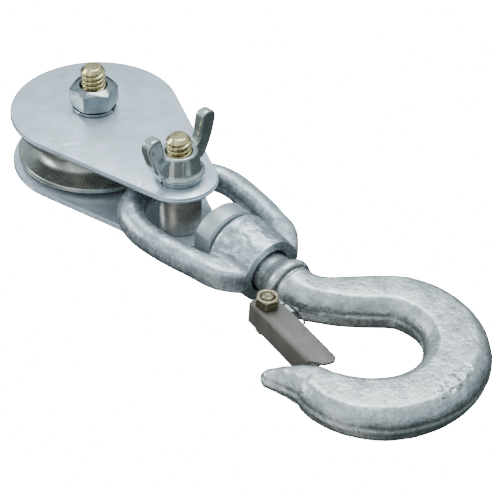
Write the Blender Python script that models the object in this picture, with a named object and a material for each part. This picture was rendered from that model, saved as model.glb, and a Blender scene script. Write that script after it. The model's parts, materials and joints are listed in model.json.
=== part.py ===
"""Single-sheave snatch block with a forged swivel yoke and a latched swivel hook.

The block lies on its two bolt heads and on the hook.  World frame, metres: the origin is the centre
of the sheave bolt's head on the surface that the block rests on, +X runs from the sheave bolt to the
shackle bolt, and +Z runs along the bolts.  The yoke, the hook and what they carry are modelled in
the load frame, whose X axis is the line of pull, whose Y axis lies across the loop and whose Z axis
is square to it; the latch has a frame of its own at its pivot.
"""

from math import asin, cos, pi, radians, sin, sqrt

import bmesh
import bpy
from mathutils import Vector

MM = 0.001
FIT = 0.3 * MM  # clearance between neighbouring pieces

# Cheek plates
PLATE_THICKNESS = 3.0 * MM
PLATE_BIG_RADIUS = 41.0 * MM
PLATE_SMALL_RADIUS = 18.1 * MM
PLATE_HOLE_RADIUS = 6.5 * MM
PLATE_EDGE_ROUND = 0.7 * MM
BOLT_SPACING = 73.2 * MM
PLATE_GAP = 24.5 * MM

# Fasteners, 12 mm
BOLT_RADIUS = 6.0 * MM
BOLT_CHAMFER = 2.0 * MM
BOLT_HEAD_HEIGHT = 7.5 * MM
HEX_ACROSS_FLATS = 20.6 * MM
NUT_HEIGHT = 11.1 * MM
SHEAVE_WASHER_THICKNESS = 1.4 * MM
SHACKLE_WASHER_THICKNESS = 2.5 * MM
LOCK_WASHER_RADIUS = 10.8 * MM
LOCK_WASHER_BORE = 6.8 * MM
LOCK_WASHER_SPLIT = 1.4 * MM
SHEAVE_BOLT_ABOVE_PLATE = 22.8 * MM
SHACKLE_BOLT_ABOVE_PLATE = 22.8 * MM
SHEAVE_NUT_TURN = radians(2.4)

# Wing nut
WING_NUT_BODY_HEIGHT = 12.1 * MM
WING_NUT_BASE_RADIUS = 12.0 * MM
WING_NUT_TOP_RADIUS = 8.9 * MM
WING_HALF_THICKNESS = 2.8 * MM
WING_TURN = radians(101.0)

# Sheave and its bearing
SHEAVE_RADIUS = 38.0 * MM
SHEAVE_TREAD_RADIUS = 27.0 * MM
GROOVE_HALF_WIDTH = 7.6 * MM
SHEAVE_RIM_HALF_WIDTH = 10.2 * MM
SLEEVE_RADIUS = 8.0 * MM
BUSH_RADIUS = 11.0 * MM
THRUST_WASHER_RADIUS = 15.0 * MM
THRUST_WASHER_THICKNESS = 1.0 * MM

# Spacer bush on the shackle bolt
SPACER_RADIUS = 10.2 * MM

# Yoke, in the load frame
YOKE_BAR_RADIUS = 6.5 * MM
YOKE_CROWN = 17.6 * MM
YOKE_HALF_WIDTH = 28.4 * MM
YOKE_NEAR_FLANK = 22.0 * MM  # the forging is a little uneven
YOKE_FAR_FLANK = 23.5 * MM
HUB_REAR = 39.2 * MM
HUB_FRONT = 63.5 * MM
HUB_RADIUS = 15.8 * MM
HUB_BORE = 8.0 * MM
HUB_COUNTERBORE = 10.8 * MM
HUB_COUNTERBORE_DEPTH = 5.0 * MM

# Swivel shank and its nut
SHANK_RADIUS = 7.5 * MM
SWIVEL_WASHER_RADIUS = 13.5 * MM
SWIVEL_WASHER_THICKNESS = 1.4 * MM
SHANK_NUT_LENGTH = 10.6 * MM
SHANK_NUT_RADIUS = 15.9 * MM
SHANK_NUT_FLAT = 14.1 * MM  # from the axis to each of its two wrench flats
SHANK_PIN_RADIUS = 1.8 * MM
SHANK_PIN_LENGTH = 30.0 * MM
SHANK_PIN_TURN = radians(60.0)

# Hook, in the load frame
NECK_RADIUS = 9.7 * MM
COLLAR_RADIUS = 13.0 * MM
COLLAR_AT = 75.0 * MM
GROOVE_AT = 78.2 * MM
BOWL_CENTRE = 133.7 * MM
BOWL_REACH = 35.3 * MM
BOWL_HALF_SPREAD = 37.0 * MM
BOWL_OFFSET = -0.5 * MM
HOOK_HALF_THICKNESS = 10.4 * MM
HOOK_POWER = 2.2
HOOK_CROWN = 1.1  # how far the sections would rise if their tops were not flat
HOOK_SIDES = 18

# Latch, at its pivot in the load frame
LATCH_PIVOT = Vector((85.2, -21.8, 0.0)) * MM
LATCH_TURN = radians(-8.0)
LATCH_LENGTH = 46.0 * MM
LATCH_HALF_HEIGHT = 6.5 * MM
LATCH_SHEET = 1.3 * MM
LATCH_WEB_AT = 5.7 * MM
LATCH_FLANGE_WIDTH = 6.8 * MM
LATCH_WEB_STEP = 7.2 * MM  # how much shorter than the upper flange the web is
LATCH_FLANGE_STEP = 12.0 * MM  # and the lower flange
LATCH_BOLT_RADIUS = 2.9 * MM
LATCH_HEX = 10.0 * MM
LATCH_HEAD_HEIGHT = 1.8 * MM
LATCH_HEAD_RADIUS = 4.7 * MM
LATCH_NUT_HEIGHT = 5.0 * MM
LUG_RADIUS = 4.1 * MM
LUG_HALF_THICKNESS = 4.5 * MM
SPRING_WIRE_RADIUS = 0.5 * MM
SPRING_TURNS = 3

# Levels along the bolts
LOWER_PLATE_BOTTOM = BOLT_HEAD_HEIGHT + FIT
GAP_BOTTOM = LOWER_PLATE_BOTTOM + PLATE_THICKNESS
GAP_TOP = GAP_BOTTOM + PLATE_GAP
UPPER_PLATE_TOP = GAP_TOP + PLATE_THICKNESS
MID_HEIGHT = (GAP_BOTTOM + GAP_TOP) / 2
WASHER_BOTTOM = UPPER_PLATE_TOP + FIT
SHEAVE_NUT_BOTTOM = WASHER_BOTTOM + SHEAVE_WASHER_THICKNESS + FIT
NUT_BOTTOM = WASHER_BOTTOM + SHACKLE_WASHER_THICKNESS + FIT

# Attitude of the load frame: swung a little to one side, and tipped until the hook rests
YOKE_SWING = radians(6.0)
YOKE_TILT = asin((MID_HEIGHT - HOOK_HALF_THICKNESS - FIT / 2) / (BOWL_CENTRE + BOWL_REACH))

ROUND = 32
SMALL_ROUND = 20


def clear_scene():
    for obj in list(bpy.data.objects):
        bpy.data.objects.remove(obj, do_unlink=True)


def make_material(name, colour, roughness, metallic):
    material = bpy.data.materials.new(name)
    material.use_nodes = True
    shader = material.node_tree.nodes["Principled BSDF"]
    shader.inputs["Base Color"].default_value = (*colour, 1.0)
    shader.inputs["Roughness"].default_value = roughness
    shader.inputs["Metallic"].default_value = metallic
    return material


def make_empty(name, location, rotation, parent=None):
    empty = bpy.data.objects.new(name, None)
    bpy.context.scene.collection.objects.link(empty)
    empty.empty_display_size = 0.02
    empty.location = location
    empty.rotation_euler = rotation
    empty.parent = parent
    return empty


def make_object(name, bm, material=None, parent=None, location=(0, 0, 0), rotation=(0, 0, 0)):
    """Turns a bmesh into an object; without a material it is a hidden helper."""
    bmesh.ops.recalc_face_normals(bm, faces=bm.faces)
    mesh = bpy.data.meshes.new(name)
    bm.to_mesh(mesh)
    bm.free()
    obj = bpy.data.objects.new(name, mesh)
    bpy.context.scene.collection.objects.link(obj)
    obj.location = location
    obj.rotation_euler = rotation
    obj.parent = parent
    if material is None:
        obj.hide_render = True
        obj.display_type = "WIRE"
        return obj
    mesh.materials.append(material)
    mesh.shade_smooth()
    mesh.set_sharp_from_angle(angle=radians(35))
    return obj


def add_boolean(obj, other, operation):
    modifier = obj.modifiers.new(f"{operation.lower()} {other.name}", "BOOLEAN")
    modifier.operation = operation
    modifier.solver = "EXACT"
    modifier.object = other


def add_bevel(obj, width, segments, angle=radians(40)):
    modifier = obj.modifiers.new("rounded edges", "BEVEL")
    modifier.width = width
    modifier.segments = segments
    modifier.limit_method = "ANGLE"
    modifier.angle_limit = angle


def join_rings(bm, rings, closed):
    """Skins rings of equal length; closed joins the last ring to the first, else both ends are capped."""
    pairs = list(zip(rings, rings[1:]))
    if closed:
        pairs.append((rings[-1], rings[0]))
    for first, second in pairs:
        for i, vertex in enumerate(first):
            j = (i + 1) % len(first)
            bm.faces.new((vertex, first[j], second[j], second[i]))
    if not closed:
        bm.faces.new(rings[0])
        bm.faces.new(rings[-1])


def lathe(profile, sides=ROUND, has_bore=True):
    """Turns a list of (radius, height) about Z: a closed section with a bore, or else a solid."""
    bm = bmesh.new()
    rings = []
    for radius, height in profile:
        turn = [2 * pi * i / sides for i in range(sides)]
        rings.append([bm.verts.new((radius * cos(a), radius * sin(a), height)) for a in turn])
    join_rings(bm, rings, closed=has_bore)
    return bm


def tube_section(inner, outer, bottom, top, chamfer=0.0):
    """The closed section of a plain ring, with its outer corners taken off by chamfer."""
    if not chamfer:
        return [(inner, bottom), (outer, bottom), (outer, top), (inner, top)]
    return [
        (inner, bottom),
        (outer - chamfer, bottom),
        (outer, bottom + chamfer),
        (outer, top - chamfer),
        (outer - chamfer, top),
        (inner, top),
    ]


def prism(outline, bottom, top):
    """Extrudes a closed list of (x, y) from bottom to top."""
    bm = bmesh.new()
    low = [bm.verts.new((x, y, bottom)) for x, y in outline]
    high = [bm.verts.new((x, y, top)) for x, y in outline]
    join_rings(bm, [low, high], closed=False)
    return bm


def arc(centre, radius, start, end, steps):
    """Points on an arc, angles in degrees, both ends included."""
    angles = [radians(start + (end - start) * i / steps) for i in range(steps + 1)]
    return [(centre[0] + radius * cos(a), centre[1] + radius * sin(a)) for a in angles]


def bezier(p0, p1, p2, p3, steps):
    """Points along a cubic Bezier, leaving out its first."""
    points = []
    for i in range(1, steps + 1):
        t = i / steps
        weights = ((1 - t) ** 3, 3 * t * (1 - t) ** 2, 3 * t * t * (1 - t), t**3)
        points.append(tuple(sum(w * p[k] for w, p in zip(weights, (p0, p1, p2, p3))) for k in (0, 1)))
    return points


def interpolate(table, x):
    """Straight lines between the rows (x, value, value...) of a design table."""
    if x <= table[0][0]:
        return table[0][1:]
    for low, high in zip(table, table[1:]):
        if x <= high[0]:
            t = (x - low[0]) / (high[0] - low[0])
            return tuple(a + (b - a) * t for a, b in zip(low[1:], high[1:]))
    return table[-1][1:]


def section_ring(bm, centre, direction, half_width, half_thickness, sides, power, crown=1.0):
    """A rounded section square to a direction in the XY plane; a crown above 1 is cut off flat."""
    across = Vector((-direction.y, direction.x, 0.0))
    ring = []
    for i in range(sides):
        a = 2 * pi * i / sides
        side = half_width * abs(cos(a)) ** (2 / power) * (1 if cos(a) >= 0 else -1)
        height = min(1.0, crown * abs(sin(a)) ** (2 / power))
        rise = half_thickness * height * (1 if sin(a) >= 0 else -1)
        ring.append(bm.verts.new(centre + across * side + Vector((0, 0, rise))))
    return ring


def path_directions(points):
    """The unit tangent at each point of an open path of (x, y)."""
    directions = []
    for i in range(len(points)):
        before = Vector(points[max(i - 1, 0)])
        after = Vector(points[min(i + 1, len(points) - 1)])
        directions.append((after - before).normalized())
    return directions


def hex_outline(across_flats):
    corner = across_flats / sqrt(3)
    return [(corner * cos(pi * i / 3), corner * sin(pi * i / 3)) for i in range(6)]


def make_hex_nut(name, across_flats, bore, bottom, top, material, **placed):
    """A hexagon nut with a plain bore, chamfered at both ends."""
    corner = across_flats / sqrt(3)
    chamfer = (corner - across_flats / 2) * 1.5
    drop = chamfer * 0.5
    blank = [
        (bore, bottom),
        (corner - chamfer, bottom),
        (corner + 1 * MM, bottom + drop * (chamfer + 1 * MM) / chamfer),
        (corner + 1 * MM, top - drop * (chamfer + 1 * MM) / chamfer),
        (corner - chamfer, top),
        (bore, top),
    ]
    nut = make_object(name, lathe(blank, ROUND), material, **placed)
    slack = 1 * MM
    hexagon = prism(hex_outline(across_flats), bottom - slack, top + slack)
    cutter = make_object(f"{name}_hexagon", hexagon, **placed)
    add_boolean(nut, cutter, "INTERSECT")
    return nut


def make_hex_bolt(name, length, material, location):
    """A bolt standing on its head, which is chamfered all round at its outer end."""
    outside = HEX_ACROSS_FLATS / sqrt(3) + 0.2 * MM
    flat_radius = HEX_ACROSS_FLATS / 2 * 0.97
    chamfer_height = (outside - flat_radius) * 0.58
    blank = [(flat_radius, 0.0), (outside, chamfer_height), (outside, BOLT_HEAD_HEIGHT)]
    bolt = make_object(name, lathe(blank, ROUND, has_bore=False), material, location=location)
    slack = 1 * MM
    hexagon = prism(hex_outline(HEX_ACROSS_FLATS), -slack, BOLT_HEAD_HEIGHT + slack)
    cutter = make_object(f"{name}_hexagon", hexagon, location=location)
    add_boolean(bolt, cutter, "INTERSECT")
    shank = [
        (BOLT_RADIUS, BOLT_HEAD_HEIGHT / 2),
        (BOLT_RADIUS, length - BOLT_CHAMFER),
        (BOLT_RADIUS - BOLT_CHAMFER, length),
    ]
    stem = make_object(f"{name}_stem", lathe(shank, SMALL_ROUND, has_bore=False), location=location)
    add_boolean(bolt, stem, "UNION")


def make_lock_washer(name, thickness, material, location, split_at):
    section = tube_section(LOCK_WASHER_BORE, LOCK_WASHER_RADIUS, 0.0, thickness, 0.3 * MM)
    washer = make_object(name, lathe(section), material, location=location)
    half = LOCK_WASHER_SPLIT / 2
    slot = [(0, -half), (0.02, -half), (0.02, half), (0, half)]
    cutter = make_object(
        f"{name}_split",
        prism(slot, -1 * MM, thickness + 1 * MM),
        location=location,
        rotation=(0, 0, split_at),
    )
    add_boolean(washer, cutter, "DIFFERENCE")


def make_cheek_plate(name, bottom, material):
    """A teardrop plate: two end arcs joined by their common tangents, with a hole for each bolt."""
    lean = 90 - asin((PLATE_BIG_RADIUS - PLATE_SMALL_RADIUS) / BOLT_SPACING) * 180 / pi
    outline = arc((BOLT_SPACING, 0), PLATE_SMALL_RADIUS, -lean, lean, 22)
    outline += arc((0, 0), PLATE_BIG_RADIUS, lean, 360 - lean, 44)
    plate = make_object(name, prism(outline, 0.0, PLATE_THICKNESS), material, location=(0, 0, bottom))
    add_bevel(plate, PLATE_EDGE_ROUND, 1)
    drill = [(PLATE_HOLE_RADIUS, -1 * MM), (PLATE_HOLE_RADIUS, PLATE_THICKNESS + 1 * MM)]
    for label, x in (("sheave", 0.0), ("shackle", BOLT_SPACING)):
        hole = lathe(drill, SMALL_ROUND, has_bore=False)
        cutter = make_object(f"{name}_{label}_hole", hole, location=(x, 0, bottom))
        add_boolean(plate, cutter, "DIFFERENCE")


def make_sheave(material):
    """Deep round groove between two thin flanges, on a hub that takes the bush."""
    bore = BUSH_RADIUS + FIT
    half = PLATE_GAP / 2 - THRUST_WASHER_THICKNESS - 2 * FIT
    hub = THRUST_WASHER_RADIUS + 2 * MM
    lip = 0.6 * MM
    face = [
        (bore, -half),
        (hub, -half),
        (hub + 1 * MM, -SHEAVE_RIM_HALF_WIDTH),
        (SHEAVE_RADIUS - lip, -SHEAVE_RIM_HALF_WIDTH),
        (SHEAVE_RADIUS, -SHEAVE_RIM_HALF_WIDTH + lip),
        (SHEAVE_RADIUS, -GROOVE_HALF_WIDTH - lip),
        (SHEAVE_RADIUS - lip, -GROOVE_HALF_WIDTH),
    ]
    tread_round = GROOVE_HALF_WIDTH * 0.8
    floor = arc((SHEAVE_TREAD_RADIUS + tread_round, 0), tread_round, 255, 105, 6)
    upper = [(radius, -height) for radius, height in reversed(face)]
    profile = face + floor + upper
    make_object("sheave", lathe(profile, 44), material, location=(0, 0, MID_HEIGHT))


def make_sheave_bearing(materials):
    half = PLATE_GAP / 2
    sleeve = tube_section(BOLT_RADIUS + FIT, SLEEVE_RADIUS, -half + FIT, half - FIT)
    make_object("sheave_axle_sleeve", lathe(sleeve), materials["sleeve"], location=(0, 0, MID_HEIGHT))
    bush_half = half - THRUST_WASHER_THICKNESS - 2 * FIT
    bush = tube_section(SLEEVE_RADIUS + FIT, BUSH_RADIUS, -bush_half, bush_half, 0.4 * MM)
    make_object("sheave_bush", lathe(bush), materials["bronze"], location=(0, 0, MID_HEIGHT))
    for name, bottom in (
        ("lower_thrust_washer", GAP_BOTTOM + FIT),
        ("upper_thrust_washer", GAP_TOP - FIT - THRUST_WASHER_THICKNESS),
    ):
        section = tube_section(SLEEVE_RADIUS + FIT, THRUST_WASHER_RADIUS, 0.0, THRUST_WASHER_THICKNESS)
        make_object(name, lathe(section), materials["bronze"], location=(0, 0, bottom))


def make_wing_nut(material):
    """A tapered round body with two paddle wings that lean outwards."""
    height = WING_NUT_BODY_HEIGHT
    bore = BOLT_RADIUS + FIT
    placed = {"location": (BOLT_SPACING, 0, NUT_BOTTOM), "rotation": (0, 0, WING_TURN)}
    body = [
        (bore, 0.0),
        (WING_NUT_BASE_RADIUS, 0.0),
        (WING_NUT_BASE_RADIUS, 1.4 * MM),
        (WING_NUT_BASE_RADIUS - 1.5 * MM, 3.2 * MM),
        (WING_NUT_TOP_RADIUS, height - 0.9 * MM),
        (WING_NUT_TOP_RADIUS - 0.7 * MM, height),
        (bore, height),
    ]
    nut = make_object("wing_nut", lathe(body, 28), material, **placed)
    paddle = [(7.4, 1.8), (12.6, 1.8), (16.0, 5.2), (19.5, 12.2)]
    paddle += arc((17.6, 21.6), 4.6, -20, 85, 6)
    paddle += arc((16.2, 23.1), 3.1, 100, 178, 4)
    paddle += [(12.0, 18.6), (11.2, 13.8), (9.4, 11.6), (7.4, 11.0)]
    for side in (1, -1):
        outline = [(side * x * MM, z * MM) for x, z in paddle]
        bm = prism(outline, -WING_HALF_THICKNESS, WING_HALF_THICKNESS)
        for vertex in bm.verts:
            vertex.co = Vector((vertex.co.x, vertex.co.z, vertex.co.y))
        wing = make_object(f"wing_{'far' if side > 0 else 'near'}", bm, **placed)
        add_bevel(wing, 0.8 * MM, 1)
        add_boolean(nut, wing, "UNION")


def make_fasteners(materials):
    steel = materials["fastener"]
    sheave_length = UPPER_PLATE_TOP + SHEAVE_BOLT_ABOVE_PLATE
    shackle_length = UPPER_PLATE_TOP + SHACKLE_BOLT_ABOVE_PLATE
    for name, x, length in (
        ("sheave_bolt", 0.0, sheave_length),
        ("shackle_bolt", BOLT_SPACING, shackle_length),
    ):
        make_hex_bolt(name, length, materials["bolt"], (x, 0, 0))
    for name, thickness, place, split_at in (
        ("sheave_lock_washer", SHEAVE_WASHER_THICKNESS, (0.45 * MM, -0.15 * MM, WASHER_BOTTOM), 25),
        ("shackle_lock_washer", SHACKLE_WASHER_THICKNESS, (BOLT_SPACING, 0, WASHER_BOTTOM), -84),
    ):
        make_lock_washer(name, thickness, steel, place, radians(split_at))
    make_hex_nut(
        "sheave_lock_nut",
        HEX_ACROSS_FLATS,
        BOLT_RADIUS + FIT,
        SHEAVE_NUT_BOTTOM,
        SHEAVE_NUT_BOTTOM + NUT_HEIGHT,
        steel,
        rotation=(0, 0, SHEAVE_NUT_TURN),
    )
    half = PLATE_GAP / 2 - FIT
    spacer = tube_section(BOLT_RADIUS + FIT, SPACER_RADIUS, -half, half, 0.5 * MM)
    make_object(
        "shackle_spacer_bush", lathe(spacer), materials["spacer"], location=(BOLT_SPACING, 0, MID_HEIGHT)
    )
    make_wing_nut(materials["wing"])


def yoke_half_path(flank_width):
    """Centreline of one arm from the middle of the crown to inside the hub."""
    crown = (-YOKE_CROWN, 0.0)
    shoulder = (8.0 * MM, YOKE_HALF_WIDTH)
    flank = (44.0 * MM, flank_width)
    inside = (61.0 * MM, 9.6 * MM)
    points = [crown]
    points += bezier(crown, (-YOKE_CROWN, 17.0 * MM), (-8.0 * MM, YOKE_HALF_WIDTH), shoulder, 9)
    points += bezier(shoulder, (20.0 * MM, YOKE_HALF_WIDTH), (34.5 * MM, flank_width + 2.7 * MM), flank, 6)
    points += bezier(flank, (48.5 * MM, flank_width - 1.4 * MM), (54.5 * MM, 17.8 * MM), inside, 5)
    return points


def make_yoke(material, load_frame):
    """A forged loop that runs into a barrel hub, faced off in front and bored for the swivel shank."""
    path = [(x, -y) for x, y in reversed(yoke_half_path(YOKE_NEAR_FLANK))]
    path += yoke_half_path(YOKE_FAR_FLANK)[1:]
    bm = bmesh.new()
    rings = []
    for point, direction in zip(path, path_directions(path)):
        power = 2.0 + 1.3 * min(1.0, max(0.0, (point[0] - 38.0 * MM) / (16.0 * MM)))
        radius = YOKE_BAR_RADIUS
        rings.append(section_ring(bm, Vector((*point, 0.0)), direction, radius, radius, 16, power))
    join_rings(bm, rings, closed=False)
    yoke = make_object("swivel_yoke", bm, material, load_frame)
    barrel = [
        (HUB_RADIUS + 0.2 * MM, HUB_REAR),
        (HUB_RADIUS + 1.0 * MM, HUB_REAR + 0.8 * MM),
        (HUB_RADIUS + 1.2 * MM, HUB_REAR + 9.0 * MM),
        (HUB_RADIUS + 0.5 * MM, HUB_FRONT - 7.0 * MM),
        (HUB_RADIUS - 0.3 * MM, HUB_FRONT + 1.0 * MM),
    ]
    placed = {"parent": load_frame, "rotation": (0, pi / 2, 0)}
    hub = make_object("swivel_yoke_hub", lathe(barrel, ROUND, has_bore=False), **placed)
    add_boolean(yoke, hub, "UNION")
    step = HUB_FRONT - HUB_COUNTERBORE_DEPTH
    bore = [
        (HUB_BORE, HUB_REAR - 12 * MM),
        (HUB_BORE, step),
        (HUB_COUNTERBORE, step),
        (HUB_COUNTERBORE, HUB_FRONT),
        (HUB_RADIUS + 12 * MM, HUB_FRONT),
        (HUB_RADIUS + 12 * MM, HUB_FRONT + 8 * MM),
    ]
    cutter = make_object("swivel_yoke_bore", lathe(bore, ROUND, has_bore=False), **placed)
    add_boolean(yoke, cutter, "DIFFERENCE")
    seat = [(HUB_RADIUS + 0.1 * MM, HUB_REAR - 14 * MM), (HUB_RADIUS + 0.1 * MM, HUB_REAR)]
    spot_face = make_object("swivel_yoke_seat", lathe(seat, ROUND, has_bore=False), **placed)
    add_boolean(yoke, spot_face, "DIFFERENCE")


def make_shank_nut(material, load_frame, bottom, top):
    """A round nut with a wrench flat on either side, chamfered at both ends."""
    placed = {"parent": load_frame, "rotation": (0, pi / 2, 0)}
    blank = tube_section(SHANK_RADIUS + FIT, SHANK_NUT_RADIUS, bottom, top, 0.8 * MM)
    nut = make_object("shank_nut", lathe(blank), material, **placed)
    reach, flat = SHANK_NUT_RADIUS + 2 * MM, SHANK_NUT_FLAT
    slab = prism([(-reach, -flat), (reach, -flat), (reach, flat), (-reach, flat)], bottom - FIT, top + FIT)
    cutter = make_object("shank_nut_flats", slab, **placed)
    add_boolean(nut, cutter, "INTERSECT")
    return nut


def make_swivel_fixings(materials, load_frame):
    """Thrust washer, shank nut and cross pin behind the hub."""
    along = (0, pi / 2, 0)
    washer_top = HUB_REAR - FIT
    washer_bottom = washer_top - SWIVEL_WASHER_THICKNESS
    washer = tube_section(SHANK_RADIUS + FIT, SWIVEL_WASHER_RADIUS, washer_bottom, washer_top)
    make_object(
        "swivel_thrust_washer", lathe(washer), materials["fastener"], parent=load_frame, rotation=along
    )
    nut_top = washer_bottom - FIT
    nut_bottom = nut_top - SHANK_NUT_LENGTH
    nut = make_shank_nut(materials["shank_nut"], load_frame, nut_bottom, nut_top)
    middle = (nut_top + nut_bottom) / 2
    edge = 0.4 * MM
    half = SHANK_PIN_LENGTH / 2
    pin = [
        (SHANK_PIN_RADIUS - edge, -half),
        (SHANK_PIN_RADIUS, -half + edge),
        (SHANK_PIN_RADIUS, half - edge),
        (SHANK_PIN_RADIUS - edge, half),
    ]
    at = {"parent": load_frame, "location": (middle, 0, 0), "rotation": (-SHANK_PIN_TURN, 0, 0)}
    make_object("shank_nut_pin", lathe(pin, 16, has_bore=False), materials["pin"], **at)
    hole_radius = SHANK_PIN_RADIUS + FIT
    hole = lathe([(hole_radius, -0.02), (hole_radius, 0.02)], 16, has_bore=False)
    cutter = make_object("shank_nut_pin_hole", hole, **at)
    add_boolean(nut, cutter, "DIFFERENCE")
    return cutter, nut_bottom


def hook_body_path():
    """Centreline of the forged body: neck, round bowl, flared tip."""
    neck_end = arc((0, 0), 1.0, 118, 118, 1)[0]
    start = (GROOVE_AT + 1.6 * MM, 0.0)
    back = (BOWL_CENTRE + BOWL_REACH * neck_end[0], BOWL_OFFSET + BOWL_HALF_SPREAD * neck_end[1])
    points = [start]
    points += bezier(start, (96 * MM, -0.6 * MM), (105.4 * MM, 23.2 * MM), back, 8)
    bowl = arc((0, 0), 1.0, 118, -90, 16)[1:]
    points += [(BOWL_CENTRE + BOWL_REACH * x, BOWL_OFFSET + BOWL_HALF_SPREAD * y) for x, y in bowl]
    bottom = points[-1]
    rim = (126.6 * MM, bottom[1] - 2.4 * MM)
    points += bezier(bottom, rim, (120.9 * MM, -45.0 * MM), (115.8 * MM, -49.3 * MM), 8)
    return points


# Distance along the hook's body, half width in the plane of the hook, half thickness, in mm
HOOK_SECTIONS = (
    (0, 11.2, 11.0),
    (14, 10.6, 10.0),
    (40, 12.6, 9.6),
    (64, 14.2, 9.6),
    (95, 15.1, 10.1),
    (148, 15.5, 9.8),
    (162, 14.8, 9.2),
    (173, 13.0, 9.0),
    (181, 11.2, 8.7),
    (188, 9.0, 8.1),
    (195.5, 6.4, 6.6),
    (200.5, 4.9, 5.0),
    (203.5, 4.1, 4.2),
)


def make_hook_shank(bm, first):
    """Turned part of the hook, from the shank's end to the groove in front of the forged body."""
    profile = [
        (first, SHANK_RADIUS - 1.0 * MM),
        (first + 1.0 * MM, SHANK_RADIUS),
        (HUB_FRONT - HUB_COUNTERBORE_DEPTH + 0.5 * MM, SHANK_RADIUS),
        (HUB_FRONT - HUB_COUNTERBORE_DEPTH + 0.9 * MM, NECK_RADIUS - 1.2 * MM),
        (HUB_FRONT - 2.5 * MM, NECK_RADIUS - 0.2 * MM),
        (HUB_FRONT + 1.0 * MM, NECK_RADIUS),
        (HUB_FRONT + 4.5 * MM, NECK_RADIUS),
        (COLLAR_AT - 4.0 * MM, NECK_RADIUS + 1.2 * MM),
        (COLLAR_AT - 1.2 * MM, COLLAR_RADIUS - 0.4 * MM),
        (COLLAR_AT + 0.6 * MM, COLLAR_RADIUS),
        (GROOVE_AT - 0.9 * MM, COLLAR_RADIUS - 0.7 * MM),
        (GROOVE_AT, COLLAR_RADIUS - 2.2 * MM),
    ]
    rings = []
    for at, radius in profile:
        rings.append(section_ring(bm, Vector((at, 0, 0)), Vector((1, 0)), radius, radius, HOOK_SIDES, 2.0))
    return rings


def make_hook(material, load_frame, pin_cutter, nut_bottom):
    bm = bmesh.new()
    rings = make_hook_shank(bm, nut_bottom - 0.6 * MM)
    path = hook_body_path()
    travelled = 0.0
    for i, (point, direction) in enumerate(zip(path, path_directions(path))):
        if i:
            travelled += (Vector(point) - Vector(path[i - 1])).length
        width, thickness = interpolate(HOOK_SECTIONS, travelled / MM)
        share = min(1.0, travelled / (30 * MM))
        power = 2.0 + (HOOK_POWER - 2.0) * share
        crown = 1.0 + (HOOK_CROWN - 1.0) * share
        centre = Vector((*point, 0.0))
        size = (width * MM, thickness * MM)
        rings.append(section_ring(bm, centre, direction, *size, HOOK_SIDES, power, crown))
    last = Vector((*path[-1], 0.0))
    heading = path_directions(path)[-1]
    for step, shrink in ((1.3, 0.80), (2.3, 0.42)):
        centre = last + Vector((*heading, 0.0)) * step * MM
        size = HOOK_SECTIONS[-1][1] * shrink * MM
        rings.append(section_ring(bm, centre, heading, size, size, HOOK_SIDES, 2.0))
    join_rings(bm, rings, closed=False)
    hook = make_object("hook", bm, material, load_frame)
    add_boolean(hook, pin_cutter, "DIFFERENCE")
    add_boolean(hook, make_hook_lug(load_frame), "UNION")
    hole_radius = LATCH_BOLT_RADIUS + 0.2 * MM
    hole = lathe([(hole_radius, -0.02), (hole_radius, 0.02)], SMALL_ROUND, has_bore=False)
    cutter = make_object("hook_latch_hole", hole, parent=load_frame, location=LATCH_PIVOT)
    add_boolean(hook, cutter, "DIFFERENCE")


def make_hook_lug(load_frame):
    """Ear that carries the latch bolt; it stands off the neck and is thinner than the latch channel."""
    x, y = LATCH_PIVOT.x, LATCH_PIVOT.y
    outline = arc((x, y), LUG_RADIUS, 180, 360, 10)
    outline += [(x + 7.0 * MM, -8.0 * MM), (x + 6.0 * MM, 0.0), (x - 4.0 * MM, 0.0)]
    outline += [(x - 4.6 * MM, -8.0 * MM)]
    top = LUG_HALF_THICKNESS - SPRING_TURNS * 2 * SPRING_WIRE_RADIUS - FIT
    return make_object("hook_lug", prism(outline, -LUG_HALF_THICKNESS, top), parent=load_frame)


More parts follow.
